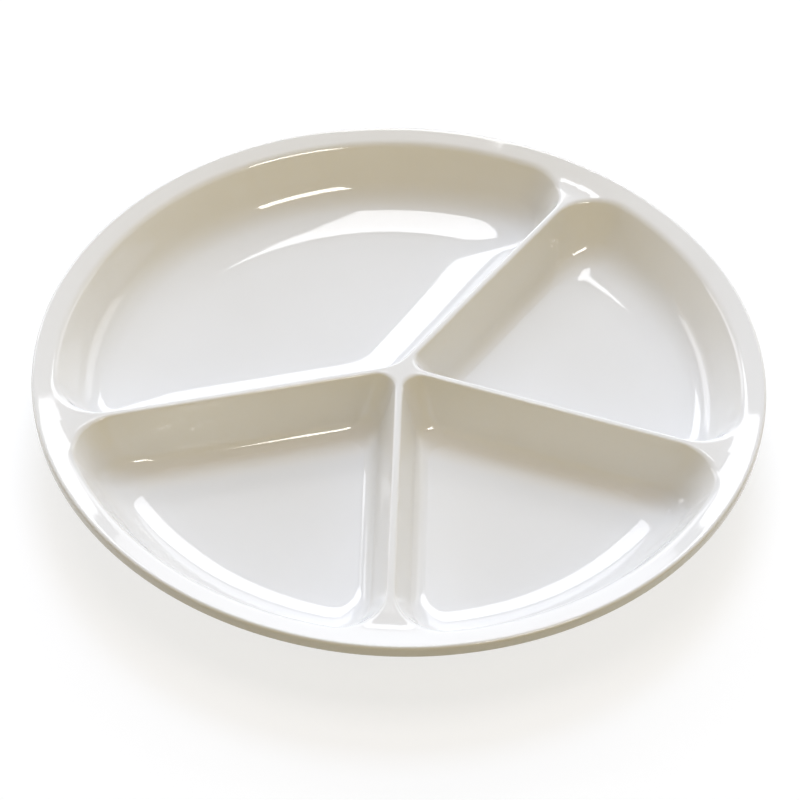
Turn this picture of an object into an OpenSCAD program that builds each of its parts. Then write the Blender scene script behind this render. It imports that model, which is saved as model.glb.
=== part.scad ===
// Round dinner plate divided into a main compartment and three smaller ones.
// A clay body is pressed in one piece, dividers and all, and fired. It is then coated with a
// glaze that melts into a glassy skin, on top and outside down to the foot ring, and on the
// underside within the foot ring. The foot ring is wiped clean, so that it stands on bare clay.
//
// +Z is up, the origin is on the table under the middle of the plate, and +Y runs through the
// middle of the main compartment. The plate is alike on both sides of the YZ plane.

/* [Plate] */
// Diameter over the lip
plate_d = 254; // [230:1:300]
// Thickness of the rim at its round lip
lip_t = 5; // [4:0.1:6]
// Width of the rim, from the outside of the lip to where it levels out
rim_w = 10.5; // [9:0.5:13]
// Slope of the rim, in degrees
rim_slope = 14; // [8:1:18]
// Thickness of the floor
floor_t = 4.2; // [3.4:0.1:5.6]
// Thickness of the outer wall
wall_t = 3.8; // [3.2:0.1:4.6]

/* [Compartments] */
// Depth from the level tops of the dividers to the floor
depth = 20.5; // [16:0.5:24]
// Angle taken up by the main compartment, in degrees
main_angle = 139; // [124:1:154]
// Angle taken up by the compartment opposite the main one, in degrees
middle_angle = 72.5; // [64:0.5:82]
// Width of rim that is left outside the compartments
edge_w = 6.5; // [5:0.5:8]
// Width of the level strip along the top of a divider
crest_w = 0.8; // [0.4:0.1:1.6]

/* [Outer wall of a compartment] */
// Slope of the wall, in degrees
wall_slope = 62; // [56:1:70]
// Radius where the wall meets the floor
wall_foot_r = 15; // [10:0.5:18]
// Radius where the wall meets the rim
wall_top_r = 4; // [2:0.5:6]

/* [Dividers] */
// Slope of a divider's sides, in degrees
divider_slope = 72; // [66:1:78]
// Radius where a divider meets the floor
divider_foot_r = 6.5; // [4:0.5:9]
// Radius along the top edges of a divider
divider_top_r = 1.6; // [1:0.1:2.4]

/* [Corners of a compartment, seen from above] */
// Radius of an outer corner at the rim
corner_top_r = 20; // [15:0.5:24]
// Radius of an outer corner at the floor
corner_floor_r = 12; // [8:0.5:14]
// Radius of the inner corner of a small compartment, at the top
inner_top_r = 8; // [5:0.5:11]
// Radius of the inner corner of a small compartment, at the floor
inner_floor_r = 7; // [4:0.5:10]
// Radius of the main compartment's inner corner, at the top
main_top_r = 12; // [8:0.5:20]
// Radius of the main compartment's inner corner, at the floor
main_floor_r = 25; // [15:0.5:35]

/* [Underside] */
// Diameter over the foot ring
foot_d = 166; // [145:1:180]
// Width of the foot ring
foot_w = 5; // [4:0.1:7]
// Height of the foot ring
foot_h = 2.5; // [2:0.1:4]
// Radius of the foot ring's edges
foot_edge_r = 1.2; // [0.6:0.1:1.8]
// Radius where the outer wall meets the underside
heel_r = 18; // [10:0.5:20]
// Radius where the outer wall meets the rim, underneath
under_rim_r = 6; // [3:0.5:7]

/* [Glaze] */
// Thickness of the glaze
glaze_t = 0.4; // [0.2:0.05:0.6]
// Width of bare clay that is wiped clean beside the foot ring
wipe_w = 1; // [0.5:0.1:2]

/* [Hidden] */

clay = "antiquewhite";
glaze = "ivory";

// Facets along half of a compartment's outline: inner corner, side, outer corner and outer arc
inner_steps = 5;
side_steps = 2;
corner_steps = 8;
small_arc_steps = 4;
main_arc_steps = 10;
// Facets up a wall, round the lip and round a bend of the underside
foot_steps = 4;
top_steps = 3;
lip_steps = 6;
bend_steps = 3;
ring_facets = 96;

// Width over which the rim levels out
rim_blend_w = rim_w / 2;
// Most of a straight run that a bend of the underside may take up
bend_share = 0.9;

plate_r = plate_d / 2;
lip_r = lip_t / 2;
crest_off = crest_w / 2;
foot_out_r = foot_d / 2;
foot_in_r = foot_out_r - foot_w;
base_r = foot_out_r + wipe_w;
floor_z = foot_h + floor_t;
level_z = floor_z + depth;
level_r = plate_r - rim_w;
open_r = plate_r - edge_w;

// The rim runs into the round lip at rim_r, and the lip is round about lip_c
rim_r = plate_r - lip_r - lip_r * sin(rim_slope);
lip_c = [plate_r - lip_r, top_z(rim_r) - lip_r * cos(rim_slope)];

// Wall sections, and the floor's edge at the foot of each
divider_section = wall_section(depth, divider_slope, 0, divider_foot_r, divider_top_r);
wall_section_h = top_z(open_r) - floor_z;
outer_section = wall_section(wall_section_h, wall_slope, rim_slope, wall_foot_r, wall_top_r);
floor_off = crest_off + last(divider_section)[0];
floor_r = open_r - last(outer_section)[0];
stations = len(divider_section);

// Angle by which an outer corner's arc ends past its divider
turn = corner_turn(crest_off, open_r, corner_top_r);

// Compartments: starting angle, angle taken up, steps along half the outer arc, inner radii
side_angle = (360 - main_angle - middle_angle) / 2;
starts = [
    90 - main_angle / 2,
    90 + main_angle / 2,
    270 - middle_angle / 2,
    270 + middle_angle / 2
];
compartments = [
    [starts[0], main_angle, main_arc_steps, main_top_r, main_floor_r],
    [starts[1], side_angle, small_arc_steps, inner_top_r, inner_floor_r],
    [starts[2], middle_angle, small_arc_steps, inner_top_r, inner_floor_r],
    [starts[3], side_angle, small_arc_steps, inner_top_r, inner_floor_r]
];
count = len(compartments);

function unit(a) = [cos(a), sin(a)];
function last(list) = list[len(list) - 1];
function mix(a, b, share) = a + (b - a) * share;
function ease(share) = share * share * (3 - 2 * share);
function sum(list, n) = n <= 0 ? 0 : list[n - 1] + sum(list, n - 1);

// Height and slope of the plate's top at radius r: level over the dividers, then up the rim
function rise(r) = (r - level_r) / rim_blend_w + 1 / 2;
function top_z(r) = level_z + tan(rim_slope) * (
    rise(r) < 0 ? 0 : rise(r) > 1 ? r - level_r : rim_blend_w * pow(rise(r), 2) / 2);
function top_slope(r) = atan(tan(rim_slope) * min(1, max(0, rise(r))));

// Section of a wall as [distance from the floor's edge, height above the floor, slope]
function wall_section(h, slope, end_slope, foot_r, top_r) =
    let (
        straight = (h - foot_r * (1 - cos(slope)) - top_r * (cos(end_slope) - cos(slope))) / sin(slope),
        foot_end = foot_r * [sin(slope), 1 - cos(slope)],
        top_start = foot_end + straight * unit(slope)
    )
    concat(
        [for (i = [0 : foot_steps]) let (a = slope * i / foot_steps)
            [foot_r * sin(a), foot_r * (1 - cos(a)), a]],
        [for (i = [0 : top_steps]) let (a = mix(slope, end_slope, i / top_steps))
            [top_start[0] + top_r * (sin(slope) - sin(a)),
             top_start[1] + top_r * (cos(a) - cos(slope)), a]]
    );

// Half of a compartment's outline, from the middle of its inner corner to that of its outer arc.
// Its dividers lie along 0 and angle; its sides stand off from them, and its outer arc is at out_r.
function corner_turn(off, out_r, corner_r) = asin((off + corner_r) / (out_r - corner_r));
function half_outline(angle, off, out_r, inner_r, corner_r, arc_steps) =
    let (
        half = angle / 2,
        inner_c = (off + inner_r) / sin(half) * unit(half),
        end = corner_turn(off, out_r, corner_r),
        corner_c = (out_r - corner_r) * unit(end)
    )
    concat(
        [for (i = [0 : inner_steps])
            inner_c + inner_r * unit(mix(180 + half, 270, i / inner_steps))],
        [for (i = [1 : 1 : side_steps - 1])
            [mix(inner_c[0], corner_c[0], i / side_steps), off]],
        [for (i = [0 : corner_steps])
            corner_c + corner_r * unit(mix(-90, end, i / corner_steps))],
        [for (i = [1 : arc_steps]) out_r * unit(mix(end, half, i / arc_steps))]
    );

// The same half outline's share of the outer wall's section, from none to all
function half_shares(arc_steps) = concat(
    [for (i = [0 : inner_steps + side_steps]) 0],
    [for (i = [1 : corner_steps]) ease(i / corner_steps)],
    [for (i = [1 : arc_steps]) 1]);

// A whole closed list from a half that is alike both ways
function both_halves(list, mirrored) =
    concat(list, [for (i = [len(list) - 2 : -1 : 1]) mirrored[i]]);
function outline(angle, half) =
    both_halves(half, [for (p = half) [p[0] * cos(angle) + p[1] * sin(angle),
                                       p[0] * sin(angle) - p[1] * cos(angle)]]);
function turned(p, a) = [p[0] * cos(a) - p[1] * sin(a), p[0] * sin(a) + p[1] * cos(a)];

// Rings of a compartment from its floor to the top of its wall, sunk by skin below the surface
function compartment_rings(c, skin) =
    let (
        angle = c[1],
        floor_line = outline(angle, half_outline(angle, floor_off, floor_r, c[4], corner_floor_r, c[2])),
        top_line = outline(angle, half_outline(angle, crest_off, open_r, c[3], corner_top_r, c[2])),
        half_share = half_shares(c[2]),
        shares = both_halves(half_share, half_share)
    )
    [for (k = [0 : stations - 1]) for (i = [0 : len(shares) - 1])
        let (
            run = top_line[i] - floor_line[i],
            h = top_z(norm(top_line[i])) - floor_z,
            along = mix(divider_section[k][0] / last(divider_section)[0],
                        outer_section[k][0] / last(outer_section)[0], shares[i]),
            up = mix(divider_section[k][1] / depth, outer_section[k][1] / wall_section_h, shares[i]),
            slope = mix(divider_section[k][2], outer_section[k][2], shares[i]),
            p = turned(floor_line[i] + run * along + run / norm(run) * skin * sin(slope), c[0])
        )
        [p[0], p[1], floor_z + h * up - skin * cos(slope)]];

// Points along the top of a divider, the same for the compartments on its two sides
junction_r = 2 * inner_top_r;
flare_r = open_r - corner_top_r;
half_corner = corner_steps / 2;
crest_r = concat(
    [for (i = [1 : inner_steps]) junction_r * i / inner_steps],
    [for (i = [1 : side_steps]) mix(junction_r, flare_r, i / side_steps)],
    [for (i = [1 : half_corner]) mix(flare_r, rim_r, i / half_corner)]);
function crest_points(a, skin) =
    [for (r = crest_r) let (p = (r + skin * sin(top_slope(r))) * unit(a))
        [p[0], p[1], top_z(r) - skin * cos(top_slope(r))]];

// Angles round the rim between two dividers
function rim_angles(c) =
    let (half = concat(
        [for (i = [1 : half_corner]) turn * i / half_corner],
        [for (i = [1 : c[2]]) mix(turn, c[1] / 2, i / c[2])]))
    [for (a = concat(half, [for (i = [len(half) - 2 : -1 : 0]) c[1] - half[i]])) c[0] + a];
circle_angles = [for (c = compartments) each concat([c[0]], rim_angles(c))];
circle_count = len(circle_angles);

// Round bend of a section at p, from one heading to another, as [r, z, angle of the normal]
function bend(p, from, to, r) =
    let (
        side = sign(to - from),
        start = p - r * tan(abs(to - from) / 2) * unit(from),
        c = start + side * r * unit(from + 90)
    )
    [for (i = [0 : bend_steps]) let (a = mix(from, to, i / bend_steps) + 90, q = c - side * r * unit(a))
        [q[0], q[1], a]];
function meeting(p, a, q, b) =
    p + unit(a) * ((q[0] - p[0]) * sin(b) - (q[1] - p[1]) * cos(b)) / sin(b - a);

// Section of the outside, from the lip down to the bare clay beside the foot ring
lip_under = lip_c + lip_r * unit(rim_slope - 90);
wall_outside = [floor_r + wall_foot_r * sin(wall_slope) + wall_t * sin(wall_slope),
                floor_z + wall_foot_r * (1 - cos(wall_slope)) - wall_t * cos(wall_slope)];
under_rim = meeting(lip_under, rim_slope, wall_outside, wall_slope);
heel = meeting(wall_outside, wall_slope, [base_r, foot_h], 0);
under_bend_r = min(
    under_rim_r,
    bend_share * norm(lip_under - under_rim) / tan((wall_slope - rim_slope) / 2));
heel_bend_r = min(heel_r, bend_share * (heel[0] - base_r) / tan(wall_slope / 2));
outside_section = concat(
    [for (i = [1 : lip_steps])
        let (a = mix(90 + rim_slope, rim_slope - 90, i / lip_steps), p = lip_c + lip_r * unit(a))
        [p[0], p[1], a]],
    bend(under_rim, 180 + rim_slope, 180 + wall_slope, under_bend_r),
    bend(heel, 180 + wall_slope, 180, heel_bend_r),
    [[base_r, foot_h, 270]]);
outside_rings = len(outside_section);
function outside_points(skin) =
    [for (s = outside_section) for (a = circle_angles)
        let (r = s[0] - skin * cos(s[2])) [r * cos(a), r * sin(a), s[1] - skin * sin(s[2])]];

// Every point of the surface: middle, divider tops, rim, compartments and outside
function surface_points(skin) = concat(
    [[0, 0, level_z - skin]],
    [for (c = compartments) each crest_points(c[0], skin)],
    [for (c = compartments) for (a = rim_angles(c))
        let (r = rim_r + skin * sin(rim_slope))
        [r * cos(a), r * sin(a), top_z(rim_r) - skin * cos(rim_slope)]],
    [for (c = compartments) each compartment_rings(c, skin)],
    outside_points(skin));

// Where each kind of point starts in that list
crest_count = len(crest_r);
rim_counts = [for (c = compartments) len(rim_angles(c))];
outline_counts = [for (c = compartments) 2 * (len(half_shares(c[2])) - 1)];
rim_start = 1 + count * crest_count;
rings_start = rim_start + sum(rim_counts, count);
outside_start = rings_start + stations * sum(outline_counts, count);
surface_count = outside_start + outside_rings * circle_count;

function crest_index(j, i) = 1 + (j % count) * crest_count + i - 1;
function rim_index(j, i) = rim_start + sum(rim_counts, j) + i;
function ring_index(j, k, i) = rings_start + stations * sum(outline_counts, j) + k * outline_counts[j] + i;

// A compartment's border, along its two dividers and the rim, point by point like its outline
function border(j) = concat(
    [0],
    [for (i = [1 : crest_count]) crest_index(j, i)],
    [for (i = [0 : rim_counts[j] - 1]) rim_index(j, i)],
    [for (i = [crest_count : -1 : 1]) crest_index(j + 1, i)]);
function ring(j, k) = [for (i = [0 : outline_counts[j] - 1]) ring_index(j, k, i)];
circle = [for (j = [0 : count - 1]) each concat(
    [crest_index(j, crest_count)], [for (i = [0 : rim_counts[j] - 1]) rim_index(j, i)])];
function outside_ring(k) = k == 0 ? circle
    : [for (i = [0 : circle_count - 1]) outside_start + (k - 1) * circle_count + i];

// Triangles between an inner ring and an outer one of as many points, facing up
function strip(inner, outer) =
    [for (i = [0 : len(inner) - 1]) let (n = (i + 1) % len(inner))
        each [[inner[i], inner[n], outer[n]], [inner[i], outer[n], outer[i]]]];
function reversed(list) = [for (i = [len(list) - 1 : -1 : 0]) list[i]];

surface_faces = concat(
    [for (j = [0 : count - 1]) reversed(ring(j, 0))],
    [for (j = [0 : count - 1]) for (k = [0 : stations - 2]) each strip(ring(j, k), ring(j, k + 1))],
    [for (j = [0 : count - 1]) each strip(ring(j, stations - 1), border(j))],
    [for (k = [0 : outside_rings - 1]) each strip(outside_ring(k), outside_ring(k + 1))]);
last_ring = outside_ring(outside_rings);

module foot_ring() {
    top_z = foot_h + floor_t / 2;
    rotate_extrude($fn = ring_facets) {
        translate([foot_in_r, foot_edge_r]) square([foot_w, top_z - foot_edge_r]);
        translate([foot_in_r + foot_edge_r, 0]) square([foot_w - 2 * foot_edge_r, top_z]);
        for (r = [foot_in_r + foot_edge_r, foot_out_r - foot_edge_r])
            translate([r, foot_edge_r]) circle(foot_edge_r);
    }
}

module stoneware_body() {
    color(clay) union() {
        polyhedron(surface_points(glaze_t), concat(surface_faces, [last_ring]), convexity = 6);
        foot_ring();
    }
}

module upper_glaze() {
    sunk = [for (f = surface_faces) [for (i = reversed(f)) i + surface_count]];
    sunk_ring = [for (i = last_ring) i + surface_count];
    color(glaze) polyhedron(
        concat(surface_points(0), surface_points(glaze_t)),
        concat(surface_faces, sunk, strip(last_ring, sunk_ring)),
        convexity = 8);
}

module base_glaze() {
    color(glaze) translate([0, 0, foot_h]) cylinder(h = glaze_t, r = foot_in_r - wipe_w, $fn = ring_facets);
}

stoneware_body();
upper_glaze();
base_glaze();
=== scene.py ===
from math import asin, cos, pi, radians, sin, tan

import bmesh
import bpy
from mathutils import Matrix, Vector


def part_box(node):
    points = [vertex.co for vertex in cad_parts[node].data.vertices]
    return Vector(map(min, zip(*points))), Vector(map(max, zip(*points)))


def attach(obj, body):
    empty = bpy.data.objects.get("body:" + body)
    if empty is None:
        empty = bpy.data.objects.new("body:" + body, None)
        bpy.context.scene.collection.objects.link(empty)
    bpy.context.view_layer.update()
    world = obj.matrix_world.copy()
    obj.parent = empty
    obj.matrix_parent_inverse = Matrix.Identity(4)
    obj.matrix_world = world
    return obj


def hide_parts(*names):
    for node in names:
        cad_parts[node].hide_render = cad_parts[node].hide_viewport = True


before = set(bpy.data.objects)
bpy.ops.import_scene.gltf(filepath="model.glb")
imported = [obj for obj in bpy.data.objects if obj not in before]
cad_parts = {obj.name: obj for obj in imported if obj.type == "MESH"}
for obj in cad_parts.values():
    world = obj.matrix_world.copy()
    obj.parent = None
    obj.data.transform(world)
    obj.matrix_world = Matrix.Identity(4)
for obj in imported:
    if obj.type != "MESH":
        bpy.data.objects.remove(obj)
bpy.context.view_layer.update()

# Clay body: one lump of stoneware, pressed in a mould with its floor, wall, rim and dividers, then
# trimmed and fired. The glaze hides all of it but the foot ring and a narrow margin on both sides
# of that, which are wiped clean before firing so that the plate doesn't stick to the kiln shelf.
_, coat_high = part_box("upper_glaze")
disc_low, disc_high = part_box("base_glaze")
plate_r = coat_high.x
plate_top = coat_high.z
glaze_t = disc_high.z - disc_low.z
foot_h = disc_low.z
disc_r = disc_high.x

# Sizes over the glaze
lip_h = 0.0045
lip_r = 0.001
rim_w = 0.0105
rim_slope = radians(14)
wall_t = 0.0038
depth = 0.0201
edge_w = 0.0065
crest_off = 0.0004
wall_slope = radians(62)
wall_foot_r = 0.015
wall_top_r = 0.004
dish_slope = radians(12.5)
main_wall_dish_r = 0.088
small_wall_dish_r = 0.060
main_dish_r = 0.078
small_dish_r = 0.002
divider_slope = radians(72)
divider_foot_r = 0.0065
divider_top_r = 0.0010
corner_top_r = 0.017
main_top_r = 0.015
main_floor_r = 0.020
main_corner_r = 0.003
small_top_r = 0.006
small_floor_r = 0.007
small_corner_r = 0.006
heel_r = 0.018
under_rim_r = 0.006
foot_w = 0.005
foot_edge_r = 0.0012
wipe_w = 0.001

# The rim rises from a level ring at level_r and ends in the lip, whose upper edge starts at rim_r
level_r = plate_r - rim_w
open_r = plate_r - edge_w
rim_blend_w = rim_w / 2
rim_r = plate_r - lip_r - lip_r * sin(rim_slope)
lip_rise = tan(rim_slope) * (rim_r - level_r) + lip_r * (1 - cos(rim_slope))
level_z = plate_top - lip_rise
floor_z = level_z - depth
foot_in_r = disc_r + wipe_w
foot_out_r = foot_in_r + foot_w
base_r = foot_out_r + wipe_w

# Cage faces: along half an outline, up a wall, across its top edge, and round the outside
inner_steps = 6
side_steps = 6
corner_steps = 14
half_corner = corner_steps // 2
small_arc_steps = 9
main_arc_steps = 20
floor_rings = 3
dish_steps = 4
foot_steps = 6
straight_steps = 2
top_steps = 5
land_rings = 6
lip_steps = 4
bend_steps = 5

main_angle = radians(139)
middle_angle = radians(72.5)
side_angle = (2 * pi - main_angle - middle_angle) / 2
main_rounds = (main_arc_steps, main_top_r, main_floor_r, main_corner_r)
small_rounds = (small_arc_steps, small_top_r, small_floor_r, small_corner_r)
main_dish = (main_dish_r, main_wall_dish_r)
small_dish = (small_dish_r, small_wall_dish_r)
compartments = (
    (pi / 2 - main_angle / 2, main_angle, *main_rounds, *main_dish),
    (pi / 2 + main_angle / 2, side_angle, *small_rounds, *small_dish),
    (3 * pi / 2 - middle_angle / 2, middle_angle, *small_rounds, *small_dish),
    (3 * pi / 2 + middle_angle / 2, side_angle, *small_rounds, *small_dish),
)


def unit(angle):
    return Vector((cos(angle), sin(angle)))


def steps(start, end, count, first=0):
    return [start + (end - start) * i / count for i in range(first, count + 1)]


def ease(share):
    return share * share * (3 - 2 * share)


def top_z(r):
    """Height of the plate's top: level over the dividers, then up the rim."""
    rise = (r - level_r) / rim_blend_w + 1 / 2
    if rise > 1:
        return level_z + tan(rim_slope) * (r - level_r)
    return level_z + tan(rim_slope) * rim_blend_w * max(rise, 0) ** 2 / 2


def arc(r, start, end, count):
    """Points on from where a curve starts, as its slope goes from one angle to another."""
    side = 1 if end > start else -1
    return [side * r * Vector((sin(a) - sin(start), cos(start) - cos(a)))
            for a in steps(start, end, count)]


def wall_section(height, slope, end_slope, dish_r, foot_r, top_r):
    """Points up a wall, from the flat floor's edge to the top's: (distance along, height)."""
    section = arc(dish_r, 0, dish_slope, dish_steps)
    section += [section[-1] + p for p in arc(foot_r, dish_slope, slope, foot_steps)[1:]]
    top = arc(top_r, slope, end_slope, top_steps)
    straight = (height - section[-1].y - top[-1].y) / sin(slope) * unit(slope)
    section += [section[-1] + straight * share for share in steps(0, 1, straight_steps, 1)]
    return section + [section[-1] + p for p in top[1:]]


def outer_section(dish_r):
    """Points up the outer wall, from a floor that rises to it with this radius."""
    height = top_z(open_r) - floor_z
    return wall_section(height, wall_slope, rim_slope, dish_r, wall_foot_r, wall_top_r)


def shares(section):
    """A section's points after the first, as shares of its whole distance and height."""
    return [Vector((p.x / section[-1].x, p.y / section[-1].y)) for p in section[1:]]


def corner_turn(off, out_r, corner_r):
    """The angle from a divider to where the corner beside it runs into the outer arc."""
    return asin((off + corner_r) / (out_r - corner_r))


def mirrored(half, angle):
    """A whole closed outline from the half that ends on the bisector of its two dividers."""
    across = [Vector((p.x * cos(angle) + p.y * sin(angle), p.x * sin(angle) - p.y * cos(angle)))
              for p in half[-2:0:-1]]
    return half + across


def outline(angle, off, out_r, inner_r, corner_r, arc_steps):
    """A compartment seen from above, between dividers that lie along 0 and along the angle."""
    half = angle / 2
    end = corner_turn(off, out_r, corner_r)
    inner_c = (off + inner_r) / sin(half) * unit(half)
    corner_c = (out_r - corner_r) * unit(end)
    inner = [inner_c + inner_r * unit(a) for a in steps(pi + half, 3 * pi / 2, inner_steps)]
    side = [Vector((x, off)) for x in steps(inner_c.x, corner_c.x, side_steps, 1)]
    corner = [corner_c + corner_r * unit(a) for a in steps(-pi / 2, end, corner_steps, 1)]
    outer = [out_r * unit(a) for a in steps(end, half, arc_steps, 1)]
    return mirrored(inner + side + corner + outer, angle)


def border(angle, arc_steps):
    """The middle lines of a compartment's two dividers and the rim's edge, point for point."""
    junction_r = 2 * small_top_r
    flare_r = open_r - corner_top_r
    turn = corner_turn(crest_off, open_r, corner_top_r)
    crest = steps(0, junction_r, inner_steps) + steps(junction_r, flare_r, side_steps, 1)
    crest += steps(flare_r, rim_r, half_corner, 1)
    rim = steps(0, turn, half_corner, 1) + steps(turn, angle / 2, arc_steps, 1)
    return mirrored([Vector((r, 0)) for r in crest] + [rim_r * unit(a) for a in rim], angle)


def select_ring(picked):
    """In edit mode, selects the edges whose two ends are picked."""
    bpy.ops.mesh.select_all(action="DESELECT")
    for edge in bmesh.from_edit_mesh(bpy.context.object.data).edges:
        if all(picked(vert) for vert in edge.verts):
            edge.select_set(True)


def place_selected(places):
    """Moves the selected ring's points, which are in the order in which they were made."""
    mesh = bmesh.from_edit_mesh(bpy.context.object.data)
    for vert, place in zip([v for v in mesh.verts if v.select], places):
        vert.co = place
    bmesh.update_edit_mesh(bpy.context.object.data)


def compartment(start, angle, arc_steps, top_inner_r, floor_inner_r, floor_corner_r,
                dish_r, wall_dish_r):
    """Extrudes a compartment ring by ring: out over its floor, up its wall and on to its border."""
    divider_section = wall_section(depth, divider_slope, 0, dish_r, divider_foot_r, divider_top_r)
    wall = outer_section(wall_dish_r)
    floor_off = crest_off + divider_section[-1].x
    floor_r = open_r - wall[-1].x
    floor_line = outline(angle, floor_off, floor_r, floor_inner_r, floor_corner_r, arc_steps)
    top_line = outline(angle, crest_off, open_r, top_inner_r, corner_top_r, arc_steps)
    border_line = border(angle, arc_steps)
    middle = sum(floor_line, Vector((0, 0))) / len(floor_line)
    on_divider = [0] * (inner_steps + side_steps)
    turning = [ease(share) for share in steps(0, 1, corner_steps)]
    half_shares = on_divider + turning + [1] * arc_steps
    outer_shares = half_shares + half_shares[-2:0:-1]

    rings = []
    for share in steps(0, 1, floor_rings, 1):
        flat = [middle.lerp(p, share) for p in floor_line]
        rings.append([(*p, floor_z) for p in flat])
    for divider_way, outer_way in zip(shares(divider_section), shares(wall)):
        ring = []
        for low, high, share in zip(floor_line, top_line, outer_shares):
            along, up = divider_way.lerp(outer_way, share)
            ring.append((*low.lerp(high, along), floor_z + (top_z(high.length) - floor_z) * up))
        rings.append(ring)
    for share in steps(0, 1, land_rings, 1):
        land = [high.lerp(edge, share) for high, edge in zip(top_line, border_line)]
        rings.append([(*p, top_z(p.length)) for p in land])

    placed = Matrix.Rotation(start, 3, "Z")
    bpy.ops.mesh.primitive_circle_add(vertices=len(floor_line), fill_type="TRIFAN",
                                      location=placed @ Vector((*middle, floor_z)))
    bpy.ops.object.transform_apply()
    bpy.ops.object.mode_set(mode="EDIT")
    select_ring(lambda vert: vert.index > 0)
    place_selected([placed @ Vector(p) for p in rings[0]])
    for ring in rings[1:]:
        bpy.ops.mesh.extrude_region_move()
        place_selected([placed @ Vector(p) for p in ring])
    bpy.ops.object.mode_set(mode="OBJECT")
    return bpy.context.object


def bend(corner, start, end, r, count):
    """Points round a bend, from one heading to another, with the corner rounded off."""
    side = 1 if end > start else -1
    middle = corner - r * tan(abs(end - start) / 2) * unit(start) + side * r * unit(start + pi / 2)
    return [middle - side * r * unit(a + pi / 2) for a in steps(start, end, count)]


def meeting(p, a, q, b):
    """Where the line through p at heading a meets the line through q at heading b."""
    return p + unit(a) * ((q.x - p.x) * sin(b) - (q.y - p.y) * cos(b)) / sin(b - a)


def extrude_profile(points, last):
    """Extrudes the selected ring from one (radius, height) to the next, as on a potter's wheel."""
    for point in points:
        wider = point.x / last.x
        bpy.ops.mesh.extrude_region_move(TRANSFORM_OT_translate={"value": (0, 0, point.y - last.y)})
        bpy.ops.transform.resize(value=(wider, wider, 1), center_override=(0, 0, 0))
        last = point


lip_c = Vector((plate_r - lip_r, plate_top - lip_r))
lip_foot = Vector((plate_r, plate_top - lip_h))
lip = [lip_c + lip_r * unit(a) for a in steps(pi / 2 + rim_slope, 0, lip_steps, 1)]
lip += bend(lip_foot, -pi / 2, rim_slope - pi, lip_r, lip_steps)
main_wall = outer_section(main_wall_dish_r)
foot_end = main_wall[dish_steps + foot_steps]
wall_outside = Vector((open_r - main_wall[-1].x + foot_end.x + wall_t * sin(wall_slope),
                       floor_z + foot_end.y - wall_t * cos(wall_slope)))
base_edge = Vector((base_r, foot_h))
under_rim = meeting(lip[-1], rim_slope, wall_outside, wall_slope)
heel = meeting(wall_outside, wall_slope, base_edge, 0)
under_bend = bend(under_rim, pi + rim_slope, pi + wall_slope, under_rim_r, bend_steps)
heel_bend = bend(heel, pi + wall_slope, pi, heel_r, bend_steps)
outside = lip + under_bend + heel_bend + [base_edge]

weld_gap = glaze_t / 100
bpy.ops.object.select_all(action="DESELECT")
sunk = [compartment(*sizes) for sizes in compartments]
for piece in sunk:
    piece.select_set(True)
bpy.ops.object.join()
clay_body = bpy.context.object
clay_body.name = "clay_body"
bpy.ops.object.mode_set(mode="EDIT")
bpy.ops.mesh.select_all(action="SELECT")
bpy.ops.mesh.remove_doubles(threshold=weld_gap)
select_ring(lambda vert: vert.is_boundary)
extrude_profile(outside, Vector((rim_r, top_z(rim_r))))
bpy.ops.mesh.select_all(action="SELECT")
bpy.ops.mesh.normals_make_consistent()
bpy.ops.object.mode_set(mode="OBJECT")
smooth = clay_body.modifiers.new("smooth", "SUBSURF")
smooth.levels = smooth.render_levels = 1
bpy.ops.object.modifier_apply(modifier=smooth.name)
bpy.ops.object.shade_smooth()

# The glaze is this surface as it stands, and the clay lies a coat's thickness below it
bpy.ops.object.duplicate()
glaze_coat = bpy.context.object
glaze_coat.name = "glaze_coat"
bpy.ops.object.select_all(action="DESELECT")
clay_body.select_set(True)
bpy.context.view_layer.objects.active = clay_body

# Round the foot ring from its outer side, then over the recess to the middle
foot_steps_round = 4
recess_z = foot_h + glaze_t
ring_corners = ((foot_out_r, recess_z), (foot_out_r, 0), (foot_in_r, 0), (foot_in_r, recess_z))
foot_profile = []
for (x, z), heading in zip(ring_corners, (pi, 3 * pi / 2, pi, pi / 2)):
    turn = pi / 2 if z else -pi / 2
    foot_profile += bend(Vector((x, z)), heading, heading + turn, foot_edge_r, foot_steps_round)
middle_r = glaze_t
foot_profile += [Vector((r, recess_z)) for r in (disc_r * 2 / 3, disc_r / 3, middle_r)]

bpy.ops.object.mode_set(mode="EDIT")
bpy.ops.mesh.select_all(action="SELECT")
bpy.ops.transform.shrink_fatten(value=-glaze_t)
select_ring(lambda vert: vert.is_boundary)
extrude_profile(foot_profile, Vector((base_r, recess_z)))
bpy.ops.mesh.merge(type="CENTER")
bpy.ops.object.mode_set(mode="OBJECT")
bpy.ops.object.shade_smooth()

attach(clay_body, "root")
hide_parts("stoneware_body")


class Socket:
    """An output in a node tree. Arithmetic on it adds Math nodes."""

    def __init__(self, tree, output=None):
        self.tree = tree
        self.output = output

    def node(self, kind, settings, sockets, output=0):
        made = self.tree.nodes.new(kind)
        for name, value in settings.items():
            setattr(made, name, value)
        for name, value in sockets.items():
            if isinstance(value, Socket):
                self.tree.links.new(value.output, made.inputs[name])
            else:
                made.inputs[name].default_value = value
        return Socket(self.tree, made.outputs[output]) if made.outputs else None

    def math(self, operation, first, second):
        return self.node("ShaderNodeMath", {"operation": operation}, {0: first, 1: second})

    def __add__(self, other):
        return self.math("ADD", self, other)

    __radd__ = __add__

    def __mul__(self, other):
        return self.math("MULTIPLY", self, other)

    __rmul__ = __mul__


def new_material(name):
    material = bpy.data.materials.new(name)
    material.use_nodes = True
    material.node_tree.nodes.clear()
    return material, Socket(material.node_tree)


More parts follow.
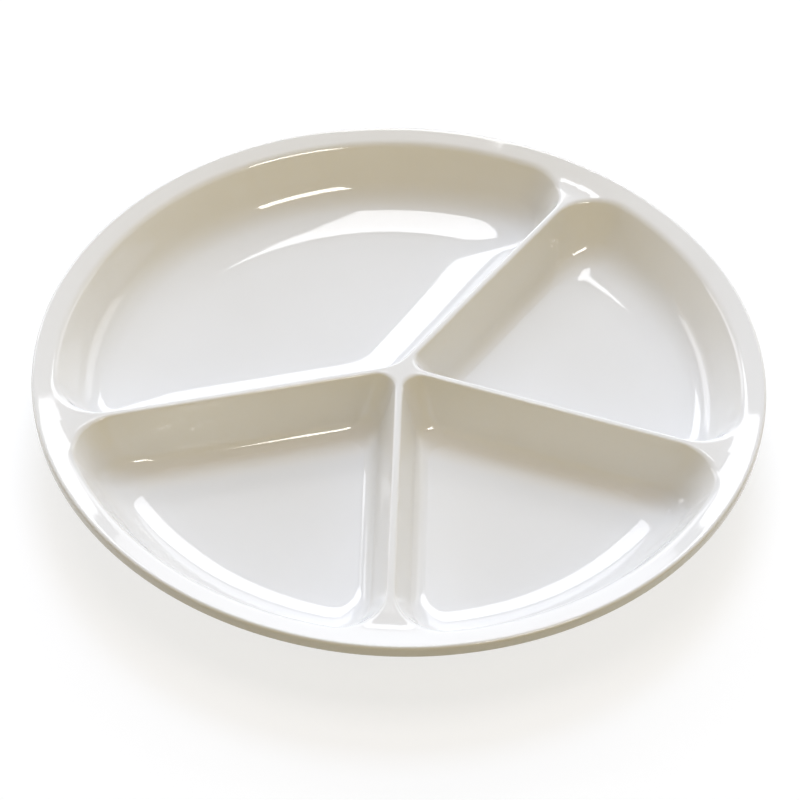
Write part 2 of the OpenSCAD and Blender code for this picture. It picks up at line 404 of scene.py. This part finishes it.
def noise(tree, spot, size, detail):
    """Cloudy noise from 0 to 1, with patches about as wide as the size in metres."""
    return tree.node("ShaderNodeTexNoise", {}, {"Vector": spot, "Scale": 1 / size, "Detail": detail})


def ramp(tree, value, low, high):
    """0 up to the low value, 1 from the high one on, and smooth between."""
    settings = {"interpolation_type": "SMOOTHSTEP"}
    return tree.node("ShaderNodeMapRange", settings, {"Value": value, "From Min": low, "From Max": high})


# The Mix node has sockets of the same names for numbers, so those for colours go by their places
mix_share, mix_first, mix_second, mix_result = 0, 6, 7, 2


def mix(tree, share, first, second):
    """A colour that goes from the first to the second as the share goes from 0 to 1."""
    sockets = {mix_share: share, mix_first: first, mix_second: second}
    return tree.node("ShaderNodeMix", {"data_type": "RGBA"}, sockets, mix_result)


toast_size = 0.03
grain_size = 0.0006
grain_h = 0.00006
dark_buff = (0.62, 0.53, 0.42, 1)
pale_buff = (0.70, 0.62, 0.51, 1)
speck_brown = (0.42, 0.34, 0.25, 1)

clay, tree = new_material("bare_stoneware")
spot = tree.node("ShaderNodeTexCoord", {}, {}, "Object")
toast = noise(tree, spot, toast_size, 2)
grain = noise(tree, spot, grain_size, 3)
specks = ramp(tree, grain, 0.62, 0.72)
buff = mix(tree, specks, mix(tree, toast, dark_buff, pale_buff), speck_brown)
bump = tree.node("ShaderNodeBump", {}, {"Height": grain * grain_h, "Distance": 1})
shader = tree.node("ShaderNodeBsdfPrincipled", {}, {
    "Base Color": buff, "Roughness": 0.78 + 0.15 * grain, "Normal": bump})
tree.node("ShaderNodeOutputMaterial", {}, {"Surface": shader})
clay_body.data.materials.append(clay)

# Upper glaze: the glossy warm-white glass coat on the top, the lip and the outside of the plate.
# The fired body is dipped in it and it melts on in a second firing, so it follows every curve, and
# lies a little unevenly.
bpy.ops.object.select_all(action="DESELECT")
glaze_coat.select_set(True)
bpy.context.view_layer.objects.active = glaze_coat
coat = glaze_coat.modifiers.new("coat", "SOLIDIFY")
coat.thickness = glaze_t
coat.offset = -1
bpy.ops.object.modifier_apply(modifier=coat.name)

# Slow waves and fine orange peel in the surface, and a slow drift of its colour and gloss
flow_size = 0.045
flow_h = 0.0001
peel_size = 0.0022
peel_h = 0.000001
drift_size = 0.07
warm_white = (0.80, 0.787, 0.755, 1)
clear_white = (0.86, 0.856, 0.842, 1)
glass_ior = 1.5

glaze, tree = new_material("warm_white_glaze")
spot = tree.node("ShaderNodeTexCoord", {}, {}, "Object")
flow = noise(tree, spot, flow_size, 1.5)
peel = noise(tree, spot, peel_size, 1)
drift = noise(tree, spot, drift_size, 3)
white = mix(tree, drift, warm_white, clear_white)
bump = tree.node("ShaderNodeBump", {}, {"Height": flow * flow_h + peel * peel_h, "Distance": 1})
shader = tree.node("ShaderNodeBsdfPrincipled", {}, {
    "Base Color": white, "Roughness": 0.02 + 0.03 * drift, "IOR": glass_ior, "Normal": bump})
tree.node("ShaderNodeOutputMaterial", {}, {"Surface": shader})
glaze_coat.data.materials.append(glaze)

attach(glaze_coat, "root")
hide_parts("upper_glaze")

# Base glaze: the same coat in the shallow recess inside the foot ring, poured in and swilled out.
# Its edge is wiped back from the ring and melts to a soft round.
base_steps = 96
base_edge_steps = 6
base_inner_r = disc_r / 3
bpy.ops.object.select_all(action="DESELECT")
bpy.ops.mesh.primitive_circle_add(vertices=base_steps, radius=base_inner_r, fill_type="TRIFAN",
                                  location=(0, 0, foot_h))
base_coat = bpy.context.object
base_coat.name = "base_coat"
bpy.ops.object.transform_apply()
edge_r = glaze_t / 2
base_rise = [Vector((disc_r - edge_r + edge_r * cos(a), foot_h + edge_r + edge_r * sin(a)))
             for a in steps(-pi / 2, pi / 2, base_edge_steps)]
inward = [Vector((base_inner_r, recess_z)), Vector((middle_r, recess_z))]
bpy.ops.object.mode_set(mode="EDIT")
select_ring(lambda vert: vert.is_boundary)
extrude_profile(base_rise + inward, Vector((base_inner_r, foot_h)))
bpy.ops.mesh.merge(type="CENTER")
bpy.ops.mesh.select_all(action="SELECT")
bpy.ops.mesh.normals_make_consistent()
bpy.ops.object.mode_set(mode="OBJECT")
bpy.ops.object.shade_smooth()
base_coat.data.materials.append(glaze)

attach(base_coat, "root")
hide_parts("base_glaze")

# Floor: a wide sheet of white paper on the table, lit like the plate. Seen by the camera or in the
# glaze it is white where no shadow lies.
floor_w = 6
floor_glow = 0.74
paper_seen = (0.3, 0.3, 0.3, 1)
paper_bounce = (0.45, 0.45, 0.45, 1)
glow_white = (1, 1, 1, 1)
bpy.ops.object.select_all(action="DESELECT")
bpy.ops.mesh.primitive_plane_add(size=floor_w)
floor = bpy.context.object
floor.name = "floor"
paper, tree = new_material("white_paper")
camera_ray = tree.node("ShaderNodeLightPath", {}, {}, "Is Camera Ray")
pale = mix(tree, camera_ray, paper_bounce, paper_seen)
lit = tree.node("ShaderNodeBsdfDiffuse", {}, {"Color": pale})
glossy_ray = tree.node("ShaderNodeLightPath", {}, {}, "Is Glossy Ray")
clear_ray = tree.node("ShaderNodeLightPath", {}, {}, "Is Transmission Ray")
seen = (camera_ray + glossy_ray + clear_ray) * floor_glow
glow = tree.node("ShaderNodeEmission", {}, {"Color": glow_white, "Strength": seen})
both = tree.node("ShaderNodeAddShader", {}, {0: lit, 1: glow})
tree.node("ShaderNodeOutputMaterial", {}, {"Surface": both})
floor.data.materials.append(paper)

# Camera: a long lens, as far back as the photograph's perspective asks, turned to look at the plate
# from the side of the three small compartments.
view_turn = radians(-36.06)
view_height = radians(45.79)
view_roll = radians(2.0)
view_distance = 0.886
view_aim = Vector((0.0005, -0.0185, plate_top))
photo_px = 800
focal_px = 2596.5

camera_data = bpy.data.cameras.new("camera")
camera_data.lens = focal_px / photo_px * camera_data.sensor_width
camera = bpy.data.objects.new("camera", camera_data)
bpy.context.scene.collection.objects.link(camera)
turned = Matrix.Rotation(view_turn, 4, "Z")
tilted = Matrix.Rotation(pi / 2 - view_height, 4, "X") @ Matrix.Rotation(view_roll, 4, "Z")
back = Vector((0, -cos(view_height), sin(view_height)))
camera.matrix_world = turned @ Matrix.Translation(view_aim + back * view_distance) @ tilted
bpy.context.scene.camera = camera


# Light: daylight that falls in from behind the plate, a softbox overhead, a window low behind with
# a bar across it, one more on each side, a card high behind and a small lamp in front on the right,
# in a room that is dark behind the plate and warm in front of it.
def panel(name, place, width, tall, radiance, colour):
    """A lamp that faces the plate."""
    data = bpy.data.lights.new(name, "AREA")
    data.shape = "RECTANGLE"
    data.size = width
    data.size_y = tall
    data.energy = radiance * pi * width * tall
    data.color = colour
    lamp = bpy.data.objects.new(name, data)
    bpy.context.scene.collection.objects.link(lamp)
    facing = (place - Vector((0, 0, floor_z))).to_track_quat("Z", "Y").to_matrix().to_4x4()
    lamp.matrix_world = turned @ Matrix.Translation(place) @ facing
    lamp.visible_camera = False
    return lamp


def toward(bearing, height, distance):
    """A place by its bearing, from straight behind the plate to the right, and height in degrees."""
    turn, tilt = radians(bearing), radians(height)
    level = distance * cos(tilt)
    return Vector((sin(turn) * level, cos(turn) * level, distance * sin(tilt)))


daylight = (0.98, 0.99, 1.03)
sky_blue = (0.82, 1.0, 1.31)
warm_bulb = (1.06, 0.99, 0.96)
lamp_bulb = (1.0, 0.98, 0.93)
window_distance = 5
lamp_distance = 1.2
softbox_place = Vector((0, 0.15, 1.6))

key_place = toward(0, 53, window_distance)
key = panel("key", key_place, width=2.0, tall=1.4, radiance=10.6, colour=sky_blue)
key.visible_glossy = False
softbox = panel("softbox", softbox_place, width=1.2, tall=0.8, radiance=2.95, colour=warm_bulb)
softbox.visible_glossy = False
above_bar = toward(-4, 36.6, window_distance)
panel("window_top", above_bar, width=5.3, tall=0.77, radiance=5.0, colour=daylight)
below_bar = toward(0, 17.2, window_distance)
panel("window", below_bar, width=3.2, tall=2.36, radiance=2.3, colour=daylight)
for bearing, radiance in ((-55, 3.0), (55, 1.6)):
    beside = toward(bearing, 13, window_distance)
    panel("side_window", beside, width=3.0, tall=1.6, radiance=radiance, colour=daylight)
card_place = toward(-2, 58.8, window_distance)
card = panel("card", card_place, width=0.55, tall=1.24, radiance=7.5, colour=daylight)
card.visible_diffuse = False
lamp_place = toward(139, 47, lamp_distance)
lamp = panel("lamp", lamp_place, width=0.53, tall=0.20, radiance=20.0, colour=lamp_bulb)
lamp.visible_diffuse = False

warm_wall = (0.53, 0.425, 0.185, 1)
dark_wall = (0.01, 0.01, 0.01, 1)
room_back = Vector((-0.34, 0.94, 0))
world = bpy.data.worlds.new("room")
bpy.context.scene.world = world
world.use_nodes = True
world.node_tree.nodes.clear()
tree = Socket(world.node_tree)
look = tree.node("ShaderNodeTexCoord", {}, {}, "Generated")
ahead = turned @ room_back
behind = tree.node("ShaderNodeVectorMath", {"operation": "DOT_PRODUCT"}, {0: look, 1: ahead}, "Value")
high = tree.node("ShaderNodeSeparateXYZ", {}, {"Vector": look}, "Z")
walls = mix(tree, ramp(tree, behind, -0.6, 0.6), warm_wall, dark_wall)
room = mix(tree, ramp(tree, high, 0.6, 0.95), walls, dark_wall)
air = tree.node("ShaderNodeBackground", {}, {"Color": room, "Strength": 1})
tree.node("ShaderNodeOutputWorld", {}, {"Surface": air})
bpy.context.scene.view_settings.view_transform = "Standard"
